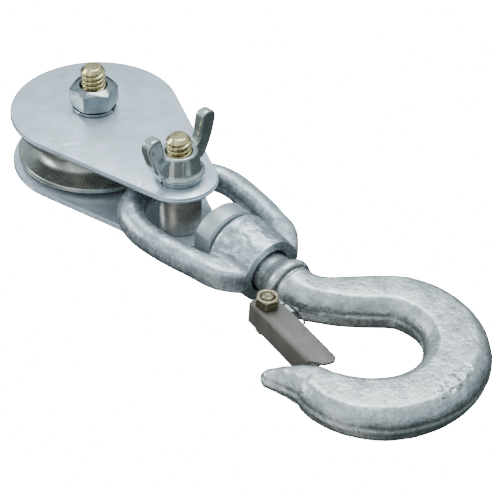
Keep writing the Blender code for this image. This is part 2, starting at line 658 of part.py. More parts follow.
def make_latch(material, latch_frame):
    """Pressed channel: two flanges joined by a web on the throat's outer side, open towards the bowl."""
    web = -LATCH_WEB_AT
    end = LATCH_LENGTH
    inner = LATCH_FLANGE_WIDTH
    web_end = end - LATCH_WEB_STEP
    outline = [(-6.0 * MM, web), (web_end, web), (web_end + 2.4 * MM, web + 4.4 * MM)]
    outline += [(end - 1.0 * MM, web + 5.4 * MM), (end - 0.4 * MM, web + 8.4 * MM)]
    outline += arc((end - 3.4 * MM, inner - 3.0 * MM), 3.0 * MM, 10, 90, 5)
    outline += [(12.0 * MM, inner)]
    outline += arc((0.0, 0.0), 6.3 * MM, 70, 200, 8)
    latch = make_object(
        "latch", prism(outline, -LATCH_HALF_HEIGHT, LATCH_HALF_HEIGHT), material, latch_frame
    )
    bend = latch.modifiers.new("bends", "BEVEL")
    bend.width = 1.3 * MM
    bend.segments = 3
    bend.limit_method = "WEIGHT"
    weights = latch.data.attributes.new("bevel_weight_edge", "FLOAT", "EDGE")
    for edge in latch.data.edges:
        ends = [latch.data.vertices[i].co for i in edge.vertices]
        on_web = all(abs(co.y - web) < 0.01 * MM for co in ends)
        level = abs(ends[0].z - ends[1].z) < 0.01 * MM
        weights.data[edge.index].value = 1.0 if on_web and level else 0.0
    inside = LATCH_HALF_HEIGHT - LATCH_SHEET
    channel = [(-0.02, web + LATCH_SHEET), (0.07, web + LATCH_SHEET), (0.07, 0.02), (-0.02, 0.02)]
    cutter = make_object("latch_channel", prism(channel, -inside, inside), parent=latch_frame)
    add_boolean(latch, cutter, "DIFFERENCE")
    short = LATCH_LENGTH - LATCH_FLANGE_STEP
    step = [(short, web + LATCH_SHEET), (0.07, web + LATCH_SHEET), (0.07, 0.02), (short, 0.02)]
    flange_end = make_object("latch_flange_end", prism(step, -0.01, 0.0), parent=latch_frame)
    add_boolean(latch, flange_end, "DIFFERENCE")
    hole_radius = LATCH_BOLT_RADIUS + FIT
    hole = lathe([(hole_radius, -0.02), (hole_radius, 0.02)], SMALL_ROUND, has_bore=False)
    bolt_hole = make_object("latch_hole", hole, parent=latch_frame)
    add_boolean(latch, bolt_hole, "DIFFERENCE")


def make_latch_fixings(materials, latch_frame):
    """A bolt with a low round head under the channel, and its nut on top."""
    outside = LATCH_HALF_HEIGHT + FIT
    head_bottom = -outside - LATCH_HEAD_HEIGHT
    end = outside + LATCH_NUT_HEIGHT + 0.4 * MM
    edge = 0.5 * MM
    profile = [
        (LATCH_HEAD_RADIUS - edge, head_bottom),
        (LATCH_HEAD_RADIUS, head_bottom + edge),
        (LATCH_HEAD_RADIUS, -outside),
        (LATCH_BOLT_RADIUS, -outside),
        (LATCH_BOLT_RADIUS, end - edge),
        (LATCH_BOLT_RADIUS - edge, end),
    ]
    bolt = lathe(profile, SMALL_ROUND, has_bore=False)
    make_object("latch_bolt", bolt, materials["latch_bolt"], latch_frame)
    make_hex_nut(
        "latch_nut",
        LATCH_HEX,
        LATCH_BOLT_RADIUS + 0.2 * MM,
        outside,
        outside + LATCH_NUT_HEIGHT,
        materials["latch_bolt"],
        parent=latch_frame,
        rotation=(0, 0, radians(20)),
    )


def make_latch_spring(material, load_frame):
    """Torsion spring: its coil sits round the latch bolt above the lug, one leg runs along the latch."""
    wire = SPRING_WIRE_RADIUS
    coil_radius = LATCH_BOLT_RADIUS + 0.25 * MM + wire
    bottom = LUG_HALF_THICKNESS - SPRING_TURNS * 2 * wire - FIT + 0.15 * MM + wire
    pitch = 2 * wire + 0.05 * MM
    leg_angle = radians(105)
    points = []
    steps = 14
    total = (SPRING_TURNS - 1) * steps
    for i in range(total + 1):
        a = leg_angle - pi / 2 - 2 * pi * (SPRING_TURNS - 1) + 2 * pi * i / steps
        offset = Vector((coil_radius * cos(a), coil_radius * sin(a), bottom + pitch * i / steps))
        points.append(LATCH_PIVOT + offset)
    for x, y, z in ((1.7, 8.6, 4.0), (2.7, 9.8, 3.9), (5.0, 10.3, 3.6), (9.4, 10.0, 3.2)):
        points.append(LATCH_PIVOT + Vector((x, y, z)) * MM)
    for x, y, z in ((13.2, 9.2, 3.0), (15.2, 8.7, 2.6), (15.8, 8.4, 1.4)):
        points.append(LATCH_PIVOT + Vector((x, y, z)) * MM)
    curve = bpy.data.curves.new("latch_spring", "CURVE")
    curve.dimensions = "3D"
    curve.bevel_depth = wire
    curve.bevel_resolution = 1
    curve.use_fill_caps = True
    spline = curve.splines.new("POLY")
    spline.points.add(len(points) - 1)
    for point, co in zip(spline.points, points):
        point.co = (*co, 1.0)
    curve.materials.append(material)
    spring = bpy.data.objects.new("latch_spring", curve)
    bpy.context.scene.collection.objects.link(spring)
    spring.parent = load_frame


def make_materials():
    return {
        "plate": make_material("bright_zinc_plate", (0.70, 0.74, 0.80), 0.38, 1.0),
        "sheave": make_material("dull_zinc_sheave", (0.55, 0.55, 0.52), 0.42, 1.0),
        "sleeve": make_material("turned_steel", (0.55, 0.56, 0.58), 0.30, 1.0),
        "bronze": make_material("bearing_bronze", (0.62, 0.44, 0.22), 0.40, 1.0),
        "bolt": make_material("yellow_zinc_bolt", (0.62, 0.58, 0.42), 0.34, 1.0),
        "fastener": make_material("bright_zinc_fastener", (0.66, 0.69, 0.70), 0.28, 1.0),
        "wing": make_material("bright_zinc_wing_nut", (0.64, 0.67, 0.68), 0.26, 1.0),
        "spacer": make_material("dark_steel_spacer", (0.16, 0.17, 0.18), 0.34, 1.0),
        "forging": make_material("hot_dip_galvanised", (0.60, 0.64, 0.68), 0.50, 0.9),
        "hook": make_material("hot_dip_galvanised_hook", (0.62, 0.66, 0.69), 0.48, 0.9),
        "shank_nut": make_material("smooth_galvanised_nut", (0.64, 0.68, 0.72), 0.40, 0.9),
        "pin": make_material("spring_steel_pin", (0.45, 0.45, 0.46), 0.35, 1.0),
        "latch": make_material("pressed_steel_latch", (0.50, 0.49, 0.46), 0.45, 0.9),
        "latch_bolt": make_material("yellow_zinc_small", (0.60, 0.58, 0.50), 0.36, 1.0),
        "spring": make_material("dark_spring_wire", (0.12, 0.12, 0.12), 0.35, 1.0),
    }


def main():
    clear_scene()
    materials = make_materials()
    make_cheek_plate("lower_cheek_plate", LOWER_PLATE_BOTTOM, materials["plate"])
    make_cheek_plate("upper_cheek_plate", GAP_TOP, materials["plate"])
    make_sheave(materials["sheave"])
    make_sheave_bearing(materials)
    make_fasteners(materials)
    load_frame = make_empty(
        "load_frame", (BOLT_SPACING, 0, MID_HEIGHT), (0, YOKE_TILT, YOKE_SWING)
    )
    make_yoke(materials["forging"], load_frame)
    pin_cutter, nut_bottom = make_swivel_fixings(materials, load_frame)
    make_hook(materials["hook"], load_frame, pin_cutter, nut_bottom)
    latch_frame = make_empty("latch_pivot", LATCH_PIVOT, (0, 0, LATCH_TURN), load_frame)
    make_latch(materials["latch"], latch_frame)
    make_latch_fixings(materials, latch_frame)
    make_latch_spring(materials["spring"], load_frame)


main()
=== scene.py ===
"""Looks of a snatch block with a latched swivel hook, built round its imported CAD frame.

Pieces are modelled in millimetres, in the world frame, in the load frame (X along the line of pull, Y
across the yoke's loop, Z square to both) or in the latch's frame, and are then set in place.  Each one
stands for a CAD node and moves with that node's body.
"""

import json
from math import asin, cos, degrees, exp, pi, radians, sin, sqrt, tan

import bmesh
import bpy
from mathutils import Matrix, Vector, noise


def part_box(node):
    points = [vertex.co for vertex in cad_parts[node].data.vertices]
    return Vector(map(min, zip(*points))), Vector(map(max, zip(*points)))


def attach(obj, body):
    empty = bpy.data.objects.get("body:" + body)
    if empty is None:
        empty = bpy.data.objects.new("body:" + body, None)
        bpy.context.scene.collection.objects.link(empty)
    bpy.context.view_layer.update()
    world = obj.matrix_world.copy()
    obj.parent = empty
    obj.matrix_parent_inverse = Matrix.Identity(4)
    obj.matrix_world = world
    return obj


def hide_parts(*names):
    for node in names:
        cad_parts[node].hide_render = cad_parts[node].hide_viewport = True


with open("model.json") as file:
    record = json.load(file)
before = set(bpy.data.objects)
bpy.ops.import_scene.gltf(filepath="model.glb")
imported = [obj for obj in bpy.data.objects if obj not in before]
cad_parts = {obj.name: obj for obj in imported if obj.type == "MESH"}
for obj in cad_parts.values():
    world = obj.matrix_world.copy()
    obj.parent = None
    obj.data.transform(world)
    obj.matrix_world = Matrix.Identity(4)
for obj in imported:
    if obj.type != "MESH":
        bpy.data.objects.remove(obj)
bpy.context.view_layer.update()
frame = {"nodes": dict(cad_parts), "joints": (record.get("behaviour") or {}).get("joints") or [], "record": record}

MM = 0.001
SIDES = 96  # of a round piece

# Camera
VIEW_TURN = radians(-54.36)
VIEW_HEIGHT = radians(36.576)
VIEW_DISTANCE = 1.214
VIEW_SHIFT = (0.0755, -0.06986)
VIEW_LENS = 180.0

# Heading of the upright strip of light that vertical surfaces mirror
STRIP_TURN = radians(-76.0)

# Hexagons and threads, mm
BOLT_RADIUS = 6.0
BOLT_HEAD = 7.5
BOLT_TIP_RADIUS = 4.0
BOLT_TIP_LENGTH = 2.1
THREAD_PITCH = 2.5  # chosen for looks; a standard 12 mm thread is finer
THREAD_DEPTH = 1.25
HEX_ACROSS = 20.6
SHEAVE_NUT_TURN = radians(2.4)
SHEAVE_WASHER_SPLIT = radians(25.0)
SHACKLE_WASHER_SPLIT = radians(-84.0)
WING_TURN = radians(101.0)
WING_NUT_HEIGHT = 12.1
WING_HALF_THICKNESS = 2.8

# Forgings in the load frame, mm
YOKE_BAR = 6.5
YOKE_CROWN = 17.6
YOKE_HALF_WIDTH = 28.4
YOKE_NEAR_FLANK = 22.0
YOKE_FAR_FLANK = 23.5
HUB_REAR = 39.2
HUB_FRONT = 63.5
HUB_RADIUS = 15.8
HUB_BORE = 8.0
HUB_COUNTERBORE = 10.8
HUB_COUNTERBORE_DEPTH = 5.0
SHANK_RADIUS = 7.5
NECK_RADIUS = 9.7
COLLAR_RADIUS = 13.0
COLLAR_AT = 75.0
GROOVE_AT = 78.2
BOWL_CENTRE = 133.7
BOWL_REACH = 35.3
BOWL_HALF_SPREAD = 37.0
BOWL_OFFSET = -0.5
DENTS_AT = (176.0, 6.0)
SHANK_NUT_FLAT = 14.1

# Latch, mm
LATCH_TURN = radians(-8.0)
LATCH_LENGTH = 46.0
LATCH_WEB_AT = 5.7
LATCH_SHEET = 1.3
LATCH_HALF_HEIGHT = 6.5
LATCH_FLANGE = 6.8
LATCH_BOLT = 2.9

# Distance along the hook's forged body, half width in the plane of the hook, half thickness, mm
HOOK_SECTIONS = (
    (0, 11.2, 11.0),
    (14, 10.6, 10.0),
    (40, 12.6, 9.6),
    (64, 14.2, 9.6),
    (95, 15.1, 10.1),
    (148, 15.5, 9.8),
    (162, 14.8, 9.2),
    (173, 13.0, 9.0),
    (181, 11.2, 8.7),
    (188, 9.0, 8.1),
    (195.5, 6.4, 6.6),
    (200.5, 4.9, 5.0),
    (203.5, 4.1, 4.2),
)

JOINTS = {joint["name"]: joint for joint in frame["joints"]}
BODY_OF = {node: body for body, nodes in frame["record"]["behaviour"]["bodies"].items() for node in nodes}


def placed(origin, x_axis, y_axis):
    """From millimetres in a local frame to metres in the world."""
    x = Vector(x_axis).normalized()
    y = Vector(y_axis).normalized()
    turn = Matrix((x, y, x.cross(y))).transposed().to_4x4()
    return Matrix.Translation(Vector(origin)) @ turn @ Matrix.Scale(MM, 4)


WORLD = Matrix.Scale(MM, 4)
LOAD = placed(
    JOINTS["yoke_pitch"]["pos_m"], JOINTS["hook_swivel"]["axis"], JOINTS["yoke_pitch"]["axis"]
)
LATCH_PIVOT = LOAD.inverted() @ Vector(JOINTS["latch_open"]["pos_m"])
LATCH = LOAD @ Matrix.Translation(LATCH_PIVOT) @ Matrix.Rotation(LATCH_TURN, 4, "Z")
ALONG_PULL = LOAD @ Matrix.Rotation(pi / 2, 4, "Y")
SHACKLE_X = JOINTS["wing_nut_turn"]["pos_m"][0] / MM
ON_SHACKLE = WORLD @ Matrix.Translation((SHACKLE_X, 0, 0))


def span(node, place=WORLD):
    """Lowest and highest corners of a CAD node, in the millimetres of a place."""
    back = place.inverted()
    points = [back @ vertex.co for vertex in frame["nodes"][node].data.vertices]
    low = Vector([min(point[i] for point in points) for i in range(3)])
    high = Vector([max(point[i] for point in points) for i in range(3)])
    return low, high


# ---- mesh tools ------------------------------------------------------------------------------


def skin(outlines, closed):
    """Skins rings of equal length; closed joins the last to the first, else both ends are capped."""
    bm = bmesh.new()
    rings = [[bm.verts.new(point) for point in outline] for outline in outlines]
    pairs = list(zip(rings, rings[1:]))
    if closed:
        pairs.append((rings[-1], rings[0]))
    for first, second in pairs:
        for i, vertex in enumerate(first):
            j = (i + 1) % len(first)
            bm.faces.new((vertex, first[j], second[j], second[i]))
    if not closed:
        bm.faces.new(rings[0])
        bm.faces.new(rings[-1])
    return bm


def turned(profile, has_bore=True, sides=SIDES):
    """Turns a list of (radius, height) about Z."""
    angles = [2 * pi * i / sides for i in range(sides)]
    return skin([[(r * cos(a), r * sin(a), z) for a in angles] for r, z in profile], has_bore)


def from_columns(columns, closed):
    """Skins columns of (angle, [(radius, height)...]) that stand round Z."""
    count = len(columns[0][1])
    rings = []
    for k in range(count):
        rings.append([(c[k][0] * cos(a), c[k][0] * sin(a), c[k][1]) for a, c in columns])
    return skin(rings, closed)


def rounded(corners, radius, steps=4):
    """Replaces each corner of a closed outline with a short curve."""
    points = []
    count = len(corners)
    for i, corner in enumerate(corners):
        here = Vector(corner)
        before = Vector(corners[i - 1]) - here
        after = Vector(corners[(i + 1) % count]) - here
        start = here + before.normalized() * min(radius, before.length * 0.45)
        end = here + after.normalized() * min(radius, after.length * 0.45)
        for k in range(steps + 1):
            t = k / steps
            points.append(tuple(start * (1 - t) ** 2 + here * 2 * t * (1 - t) + end * t * t))
    return points


def arc(centre, radius, start, end, steps):
    """Points on an arc, angles in degrees, both ends included."""
    angles = [radians(start + (end - start) * i / steps) for i in range(steps + 1)]
    return [(centre[0] + radius * cos(a), centre[1] + radius * sin(a)) for a in angles]


def bezier(p0, p1, p2, p3, steps):
    """Points along a cubic Bezier, leaving out its first."""
    points = []
    for i in range(1, steps + 1):
        t = i / steps
        weights = ((1 - t) ** 3, 3 * t * (1 - t) ** 2, 3 * t * t * (1 - t), t**3)
        points.append(tuple(sum(w * p[k] for w, p in zip(weights, (p0, p1, p2, p3))) for k in (0, 1)))
    return points


def directions_of(points):
    """The unit tangent at each point of an open path."""
    found = []
    for i in range(len(points)):
        before = Vector(points[max(i - 1, 0)])
        after = Vector(points[min(i + 1, len(points) - 1)])
        found.append((after - before).normalized())
    return found


def prism(outline, bottom, top):
    return skin([[(x, y, bottom) for x, y in outline], [(x, y, top) for x, y in outline]], False)


def section(centre, direction, half_width, half_thickness, power, sides=48, crown=1.0):
    """A rounded section square to a direction in the XY plane; a crown above 1 is pressed flat."""
    across = Vector((-direction.y, direction.x, 0.0))
    ring = []
    for i in range(sides):
        a = 2 * pi * i / sides
        side = half_width * abs(cos(a)) ** (2 / power) * (1 if cos(a) >= 0 else -1)
        height = crown * abs(sin(a)) ** (2 / power)
        if crown > 1.0:
            height = min(height, 0.97 + 0.2 * (height - 0.97), 1.0)
        rise = half_thickness * height * (1 if sin(a) >= 0 else -1)
        ring.append(Vector(centre) + across * side + Vector((0, 0, rise)))
    return ring


def eased(table, x):
    """Smooth steps between the rows (x, value, value...) of a design table."""
    if x <= table[0][0]:
        return table[0][1:]
    for low, high in zip(table, table[1:]):
        if x <= high[0]:
            t = (x - low[0]) / (high[0] - low[0])
            blend = t * 0.6 + t * t * (3 - 2 * t) * 0.4
            return tuple(a + (b - a) * blend for a, b in zip(low[1:], high[1:]))
    return table[-1][1:]


def smoothstep(low, high, x):
    t = min(1.0, max(0.0, (x - low) / (high - low)))
    return t * t * (3 - 2 * t)


def as_object(name, bm, place):
    """Links a mesh made in millimetres as an object in metres."""
    bmesh.ops.recalc_face_normals(bm, faces=bm.faces)
    mesh = bpy.data.meshes.new(name)
    bm.to_mesh(mesh)
    bm.free()
    mesh.transform(place)
    obj = bpy.data.objects.new(name, mesh)
    bpy.context.scene.collection.objects.link(obj)
    return obj


def bake(obj):
    """Puts an object's modifiers into its mesh."""
    evaluated = obj.evaluated_get(bpy.context.evaluated_depsgraph_get())
    mesh = bpy.data.meshes.new_from_object(evaluated)
    obj.modifiers.clear()
    spare = obj.data
    obj.data = mesh
    bpy.data.meshes.remove(spare)


def cut(obj, tools, operation="DIFFERENCE"):
    """Cuts closed tools out of an object, or joins them to it, and removes them."""
    for tool in tools:
        modifier = obj.modifiers.new("cut", "BOOLEAN")
        modifier.operation = operation
        modifier.solver = "EXACT"
        modifier.object = tool
    bake(obj)
    for tool in tools:
        bpy.data.objects.remove(tool, do_unlink=True)


def soften_edges(obj, width, angle=30, segments=3):
    modifier = obj.modifiers.new("worn edges", "BEVEL")
    modifier.width = width * MM
    modifier.segments = segments
    modifier.limit_method = "ANGLE"
    modifier.angle_limit = radians(angle)
    bake(obj)


def melt(obj, parts, voxel, passes):
    """Fuses an object and other closed parts into one skin with the soft fillets of a forging."""
    bm = bmesh.new()
    for source in [obj] + parts:
        bm.from_mesh(source.data)
    bm.to_mesh(obj.data)
    bm.free()
    remesh = obj.modifiers.new("skin", "REMESH")
    remesh.mode = "VOXEL"
    remesh.voxel_size = voxel * MM
    smooth = obj.modifiers.new("soften", "SMOOTH")
    smooth.factor = 0.5
    smooth.iterations = passes
    bake(obj)
    for part in parts:
        bpy.data.objects.remove(part, do_unlink=True)


def reshape(obj, rise_at):
    """Moves each point along its normal by the millimetres that rise_at gives for its place."""
    points = [(vertex.co.copy(), vertex.normal.copy()) for vertex in obj.data.vertices]
    for vertex, (place, normal) in zip(obj.data.vertices, points):
        vertex.co = place + normal * rise_at(place / MM) * MM


def finish(obj, node, material, sharp=32):
    """Makes an object the piece that stands for a CAD node."""
    obj.data.materials.clear()
    obj.data.materials.append(material)
    obj.data.shade_smooth()
    obj.data.set_sharp_from_angle(angle=radians(sharp))
    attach(obj, BODY_OF[node])
    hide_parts(node)
    return obj


# ---- materials -------------------------------------------------------------------------------


def add_noise(tree, size, detail=4.0, rough=0.55, stretch=None):
    """A noise whose features are about size millimetres wide."""
    place = tree.nodes.new("ShaderNodeTexCoord")
    source = place.outputs["Object"]
    if stretch:
        mapping = tree.nodes.new("ShaderNodeMapping")
        mapping.inputs["Scale"].default_value = stretch
        tree.links.new(source, mapping.inputs["Vector"])
        source = mapping.outputs["Vector"]
    texture = tree.nodes.new("ShaderNodeTexNoise")
    texture.inputs["Scale"].default_value = 1 / (size * MM)
    texture.inputs["Detail"].default_value = detail
    texture.inputs["Roughness"].default_value = rough
    tree.links.new(source, texture.inputs["Vector"])
    return texture.outputs["Fac"]


def add_ramp(tree, source, stops):
    """A colour ramp through (place, colour) stops; a number stands for a grey."""
    ramp = tree.nodes.new("ShaderNodeValToRGB")
    elements = ramp.color_ramp.elements
    while len(elements) < len(stops):
        elements.new(0.5)
    for element, (place, colour) in zip(elements, stops):
        element.position = place
        element.color = (*colour, 1.0) if isinstance(colour, tuple) else (colour, colour, colour, 1.0)
    tree.links.new(source, ramp.inputs["Fac"])
    return ramp.outputs["Color"]


def colour_input(mix, name):
    return [socket for socket in mix.inputs if socket.name == name and socket.type == "RGBA"][0]


def blend_colours(tree, kind, amount, first, second):
    """Blends two colours; amount may be a number or a socket."""
    mix = tree.nodes.new("ShaderNodeMix")
    mix.data_type = "RGBA"
    mix.blend_type = kind
    for socket, value in (
        (mix.inputs[0], amount),
        (colour_input(mix, "A"), first),
        (colour_input(mix, "B"), second),
    ):
        if isinstance(value, bpy.types.NodeSocket):
            tree.links.new(value, socket)
        else:
            socket.default_value = value
    return [socket for socket in mix.outputs if socket.type == "RGBA"][0]


def add_bumps(tree, layers):
    """Stacks bump layers of (height socket, height in millimetres)."""
    normal = None
    for height, depth in layers:
        bump = tree.nodes.new("ShaderNodeBump")
        bump.inputs["Strength"].default_value = 1.0
        bump.inputs["Distance"].default_value = depth * MM
        tree.links.new(height, bump.inputs["Height"])
        if normal:
            tree.links.new(normal, bump.inputs["Normal"])
        normal = bump.outputs["Normal"]
    return normal


def new_metal(name, metallic=1.0):
    material = bpy.data.materials.new(name)
    material.use_nodes = True
    shader = material.node_tree.nodes["Principled BSDF"]
    shader.inputs["Metallic"].default_value = metallic
    return material, material.node_tree, shader


def galvanised(name, dark, middle, light, gloss, relief, metallic=0.8, patch=7.0, worn=0.35):
    """Hot-dip zinc: cloudy patches, small spangle, fine pits, paler worn edges, and painted shade that darkens its
    creases and concave fillets.
    """
    material, tree, shader = new_metal(name, metallic)
    clouds = add_noise(tree, patch, 5.0, 0.6)
    spangle = add_noise(tree, patch * 0.27, 3.0, 0.6)
    pits = add_noise(tree, 0.9, 3.0, 0.6)
    colour = add_ramp(tree, clouds, [(0.34, dark), (0.5, middle), (0.66, light)])
    flecks = add_ramp(tree, spangle, [(0.34, 0.80), (0.5, 0.98), (0.66, 1.08)])
    colour = blend_colours(tree, "MULTIPLY", 1.0, colour, flecks)
    hollows = add_ramp(tree, pits, [(0.31, 0.30), (0.40, 1.0)])
    colour = blend_colours(tree, "MULTIPLY", 0.8, colour, hollows)
    # Pointiness pales the worn convex edges, which is real wear, and darkens creases and concave fillets, which is
    # painted shade.
    edges = add_ramp(tree, tree.nodes.new("ShaderNodeNewGeometry").outputs["Pointiness"], [
        (0.44, 0.55), (0.495, 1.0), (0.53, 1.0 + worn)])
    colour = blend_colours(tree, "MULTIPLY", 1.0, colour, edges)
    tree.links.new(colour, shader.inputs["Base Color"])
    tree.links.new(add_ramp(tree, spangle, [(0.3, gloss[0]), (0.7, gloss[1])]), shader.inputs["Roughness"])
    normal = add_bumps(tree, [(clouds, 0.8 * relief), (spangle, 0.4 * relief), (pits, 0.3 * relief)])
    tree.links.new(normal, shader.inputs["Normal"])
    return material


def plated(name, dark, light, gloss, patch=9.0, relief=0.05, metallic=1.0, dents=0.0):
    """Electroplated zinc: nearly even, with a faint haze, handling marks, small dents and paler rubbed edges, and
    painted shade that darkens its creases.
    """
    material, tree, shader = new_metal(name, metallic)
    haze = add_noise(tree, patch, 3.0, 0.5)
    marks = add_noise(tree, 1.3, 4.0, 0.65)
    colour = add_ramp(tree, haze, [(0.35, dark), (0.65, light)])
    wear = add_ramp(tree, marks, [(0.25, 0.82), (0.45, 1.0), (0.75, 1.05)])
    colour = blend_colours(tree, "MULTIPLY", 0.8, colour, wear)
    # Pointiness pales convex edges a little, as rubbed wear, and darkens creases and concave corners strongly,
    # which is painted shade.
    edges = add_ramp(tree, tree.nodes.new("ShaderNodeNewGeometry").outputs["Pointiness"], [
        (0.42, 0.30), (0.495, 1.0), (0.56, 1.15)])
    colour = blend_colours(tree, "MULTIPLY", 0.9, colour, edges)
    tree.links.new(colour, shader.inputs["Base Color"])
    tree.links.new(add_ramp(tree, marks, [(0.25, gloss[1]), (0.75, gloss[0])]), shader.inputs["Roughness"])
    layers = [(haze, relief * 3), (marks, relief)]
    if dents:
        knocks = add_noise(tree, 9.0, 1.0, 0.5, (1.0, 1.6, 1.0))
        layers.append((add_ramp(tree, knocks, [(0.28, 0.0), (0.38, 1.0)]), dents))
        scratches = add_noise(tree, 6.0, 1.0, 0.5, (0.25, 2.2, 1.0))
        layers.append((add_ramp(tree, scratches, [(0.24, 0.0), (0.30, 1.0)]), dents * 0.5))
    tree.links.new(add_bumps(tree, layers), shader.inputs["Normal"])
    return material


def make_materials():
    """Each finish by a short name, with its dark and light colours and its roughness range."""
    return {
        "plate": plated(
            "zinc_plate", (0.50, 0.58, 0.62), (0.62, 0.68, 0.76), (0.26, 0.36),
            patch=9.0, relief=0.012, metallic=0.75, dents=0.10,
        ),
        "sheave": plated(
            "dull_zinc", (0.24, 0.25, 0.225), (0.36, 0.37, 0.33), (0.24, 0.30),
            patch=6.0, relief=0.006, metallic=0.8,
        ),
        "steel": plated(
            "turned_steel", (0.50, 0.51, 0.53), (0.60, 0.61, 0.63), (0.22, 0.34),
            patch=4.0, relief=0.02,
        ),
        "bronze": plated(
            "bearing_bronze", (0.52, 0.35, 0.16), (0.66, 0.46, 0.23), (0.3, 0.45),
            patch=4.0, relief=0.03,
        ),
        "bolt": plated(
            "yellow_zinc", (0.36, 0.30, 0.14), (0.56, 0.48, 0.26), (0.18, 0.26),
            patch=4.0, relief=0.008,
        ),
        "fastener": plated(
            "bright_zinc", (0.17, 0.195, 0.20), (0.27, 0.30, 0.30), (0.12, 0.20),
            patch=5.0, relief=0.015,
        ),
        "wing": plated(
            "bright_zinc_wing", (0.34, 0.38, 0.36), (0.48, 0.52, 0.50), (0.12, 0.20),
            patch=7.0, relief=0.012, metallic=0.8,
        ),
        "spacer": plated(
            "dark_steel", (0.34, 0.33, 0.31), (0.46, 0.43, 0.39), (0.28, 0.40),
            patch=5.0, relief=0.012, metallic=0.9,
        ),
        "yoke": galvanised(
            "galvanised_yoke", (0.27, 0.30, 0.32), (0.36, 0.405, 0.435), (0.50, 0.56, 0.60),
            (0.28, 0.40), relief=0.40,
        ),
        "hook": galvanised(
            "galvanised_hook", (0.30, 0.33, 0.325), (0.39, 0.42, 0.415), (0.52, 0.56, 0.555),
            (0.26, 0.38), relief=0.35,
        ),
        "nut": plated(
            "galvanised_nut", (0.30, 0.345, 0.35), (0.37, 0.415, 0.42), (0.34, 0.46),
            patch=8.0, relief=0.012, metallic=0.6,
        ),
        "pin": plated(
            "pin_steel", (0.32, 0.32, 0.33), (0.44, 0.44, 0.45), (0.28, 0.4),
            patch=3.0, relief=0.03,
        ),
        "latch": plated(
            "latch_steel", (0.085, 0.078, 0.066), (0.115, 0.107, 0.092), (0.48, 0.58),
            patch=8.0, relief=0.015, metallic=0.1,
        ),
        "small": plated(
            "latch_zinc", (0.14, 0.12, 0.075), (0.26, 0.23, 0.15), (0.22, 0.34),
            patch=2.0, relief=0.02, metallic=0.9,
        ),
        "spring": plated(
            "spring_wire", (0.02, 0.02, 0.02), (0.05, 0.05, 0.05), (0.35, 0.45),
            patch=2.0, relief=0.02, metallic=0.3,
        ),
    }


# ---- hexagons, threads and washers -----------------------------------------------------------


def hex_reach(turn, across, corner):
    """From the axis to the side of a hexagon with rounded corners; turn is from a flat's middle."""
    half = across / 2
    inner = half - corner
    if abs(tan(turn)) * half <= inner * tan(pi / 6):
        return half / cos(turn)
    off = pi / 6 - abs(turn)
    centre = inner / cos(pi / 6)
    return centre * cos(off) + sqrt(max(corner**2 - (centre * sin(off)) ** 2, 0.0))


def hex_columns():
    """Angles round a hexagon, as (angle from a corner at 0, angle from the flat's middle)."""
    near = (-30.0, -29.2, -28.4, -27.2, -24.0, -18.0, -11.0, -4.0, 4.0, 11.0, 18.0, 24.0, 27.2, 28.4, 29.2)
    return [(radians(30 + 60 * k + turn), radians(turn)) for k in range(6) for turn in near]


def hex_nut(across, bore, bottom, top, turn=0.0, slope=0.6, corner=0.7, crown=0.95):
    """A hexagon nut whose ends are cut back by a cone; crown is how much of its top stays flat."""
    face = across / 2 * 0.95
    upper = across / 2 * crown
    lip = 0.9 if across > 15 else 0.4
    columns = []
    for angle, off in hex_columns():
        side = hex_reach(off, across, corner)
        drop = (side - face) * slope
        column = [(bore, bottom + lip), (bore + lip, bottom), (face, bottom), (side, bottom + drop)]
        column += [(side, top - (side - upper) * slope), (upper, top)]
        column += [(bore + lip, top), (bore, top - lip)]
        columns.append((angle + turn, column))
    return from_columns(columns, True)


def thread_radius(angle, height, end):
    """Radius of a right-hand thread, run out into the chamfer at its end."""
    phase = (height / THREAD_PITCH - angle / (2 * pi)) % 1.0
    crest = smoothstep(0.12, 0.80, abs(phase - 0.5) * 2)
    radius = BOLT_RADIUS - THREAD_DEPTH * (1 - crest)
    slant = BOLT_TIP_RADIUS + (end - height) * (BOLT_RADIUS - BOLT_TIP_RADIUS) / BOLT_TIP_LENGTH
    return min(radius, slant)


def hex_bolt(end, thread_from):
    """A hexagon bolt that stands on its head, threaded over its upper part."""
    face = HEX_ACROSS / 2 * 0.95
    rows = int((end - thread_from) / (THREAD_PITCH / 14))
    columns = []
    for angle, off in hex_columns():
        side = hex_reach(off, HEX_ACROSS, 0.7)
        drop = (side - face) * 0.58
        column = [(face, 0.0), (side, drop), (side, BOLT_HEAD - 0.3), (side - 0.3, BOLT_HEAD)]
        column += [(BOLT_RADIUS + 0.5, BOLT_HEAD), (BOLT_RADIUS, BOLT_HEAD + 0.25)]
        column += [(BOLT_RADIUS, thread_from - 1.0)]
        for k in range(rows + 1):
            height = thread_from + (end - thread_from) * k / rows
            column.append((thread_radius(angle, height, end), height))
        column.append((BOLT_TIP_RADIUS - 0.5, end + 0.12))
        columns.append((angle, column))
    return from_columns(columns, False)


def lock_washer(low, high, inner, outer, split_at, gap=0.07):
    """A split spring washer: one end stands a little higher than the other."""
    middle = (inner + outer) / 2
    half = (outer - inner) / 2
    thick = (high - low) / 2 - 0.12
    corners = [(-half, -thick), (half, -thick), (half, thick), (-half, thick)]
    outline = rounded(corners, 0.35, 3)
    rings = []
    steps = 90
    for k in range(steps + 1):
        a = split_at + gap + (2 * pi - 2 * gap) * k / steps
        lift = (low + high) / 2 + 0.24 * (k / steps - 0.5)
        rings.append([((middle + x) * cos(a), (middle + x) * sin(a), lift + z) for x, z in outline])
    return skin(rings, False)


def make_bolts(materials):
    for name, place in (("sheave_bolt", WORLD), ("shackle_bolt", ON_SHACKLE)):
        end = span(name)[1].z - 0.12
        plate_bottom = span("upper_cheek_plate")[0].z
        bolt = as_object(f"{name}_detailed", hex_bolt(end, plate_bottom), place)
        finish(bolt, name, materials["bolt"], 40)


